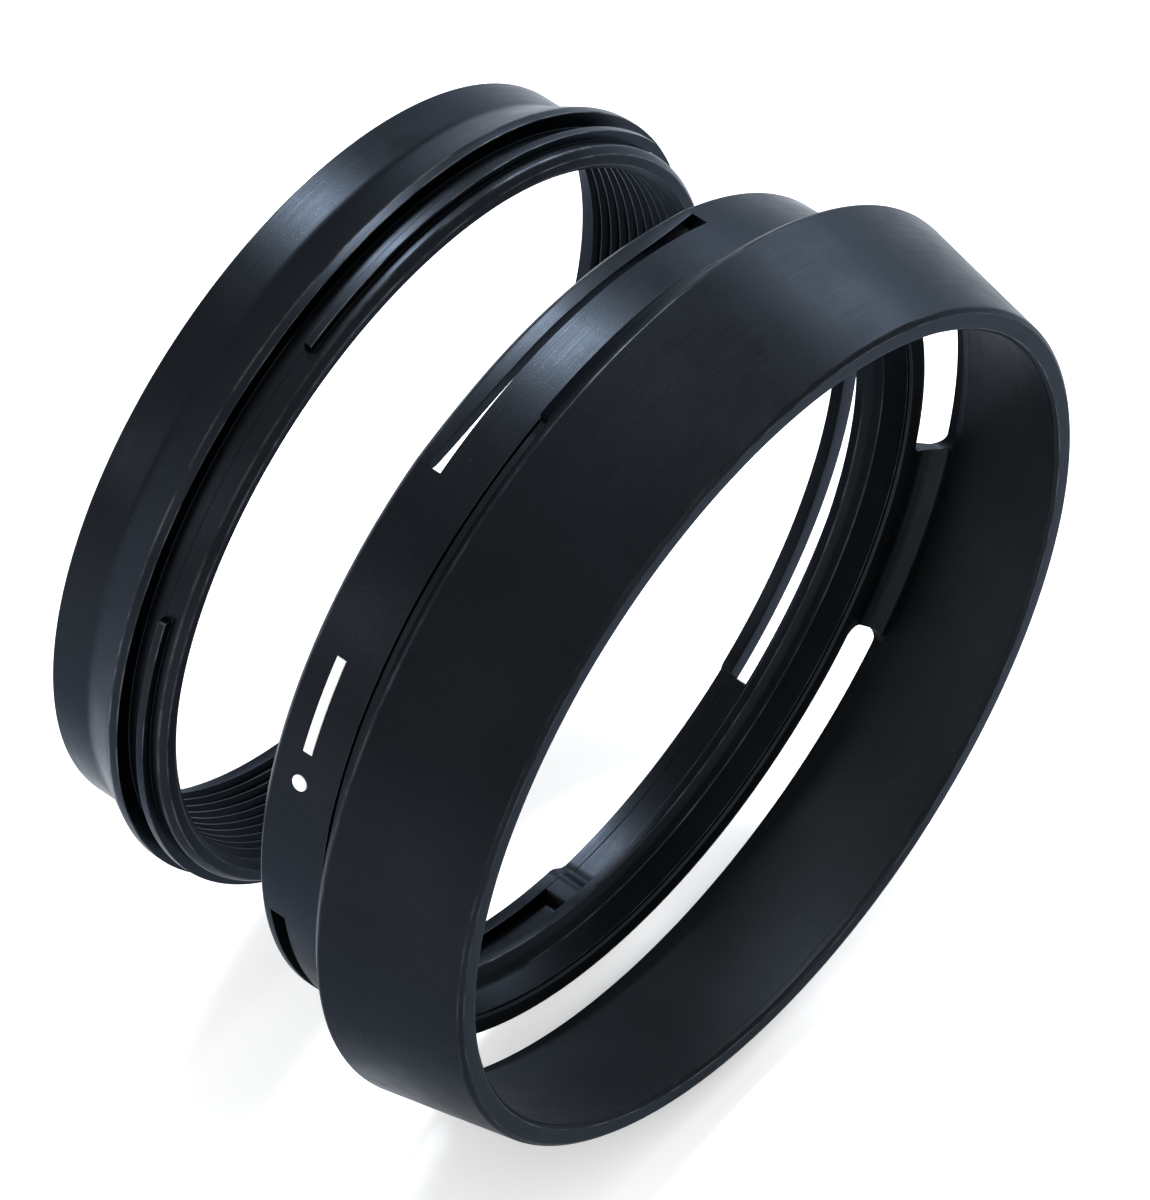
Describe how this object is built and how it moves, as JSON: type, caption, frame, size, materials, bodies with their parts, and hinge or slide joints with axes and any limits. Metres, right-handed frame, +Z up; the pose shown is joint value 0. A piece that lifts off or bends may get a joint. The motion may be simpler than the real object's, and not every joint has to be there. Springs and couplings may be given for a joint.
{
  "type": "lens hood",
  "caption": "Vented bayonet lens hood pulled off its threaded adapter ring, with spring tongues behind slots in the collar's rear edge.",
  "frame": {"origin": "on the optical axis, in the plane of the adapter ring's rear face, where it meets the lens", "axes": "+Y along the optical axis toward the lens and camera, so the hood's mouth faces -Y; +Z up, +X to the right as seen from the front"},
  "size_m": [0.0618, 0.0354, 0.0618],
  "materials": {
    "ring_black": "black anodised, satin, fine turning lines",
    "collar_black": "black anodised, satin",
    "band_black": "black anodised, satin outside, matt and finely grooved inside",
    "tongue_black": "black anodised, satin",
    "index_white": "matt white paint fill"
  },
  "bodies": {
    "adapter": {"adapter_ring": "ring_black"},
    "hood": {"bayonet_collar": "collar_black", "shade_band": "band_black", "index_bar": "index_white", "index_dot": "index_white"},
    "tongue_1": {"spring_tongue_1": "tongue_black"},
    "tongue_2": {"spring_tongue_2": "tongue_black"},
    "tongue_3": {"spring_tongue_3": "tongue_black"}
  },
  "joints": [
    {"name": "hood_slide", "type": "slide", "parent": "adapter", "child": "hood", "axis": [0, 1, 0], "range_m": [0, 0.01189]},
    {"name": "tongue_1_flex", "type": "slide", "parent": "hood", "child": "tongue_1", "axis": [-0.848, 0, -0.5299], "range_m": [0, 0.0003], "stiffness_N_per_m": 1500},
    {"name": "tongue_2_flex", "type": "slide", "parent": "hood", "child": "tongue_2", "axis": [0.8829, 0, -0.4695], "range_m": [0, 0.0003], "stiffness_N_per_m": 1500},
    {"name": "tongue_3_flex", "type": "slide", "parent": "hood", "child": "tongue_3", "axis": [-0.0349, 0, 0.9994], "range_m": [0, 0.0003], "stiffness_N_per_m": 1500}
  ]
}
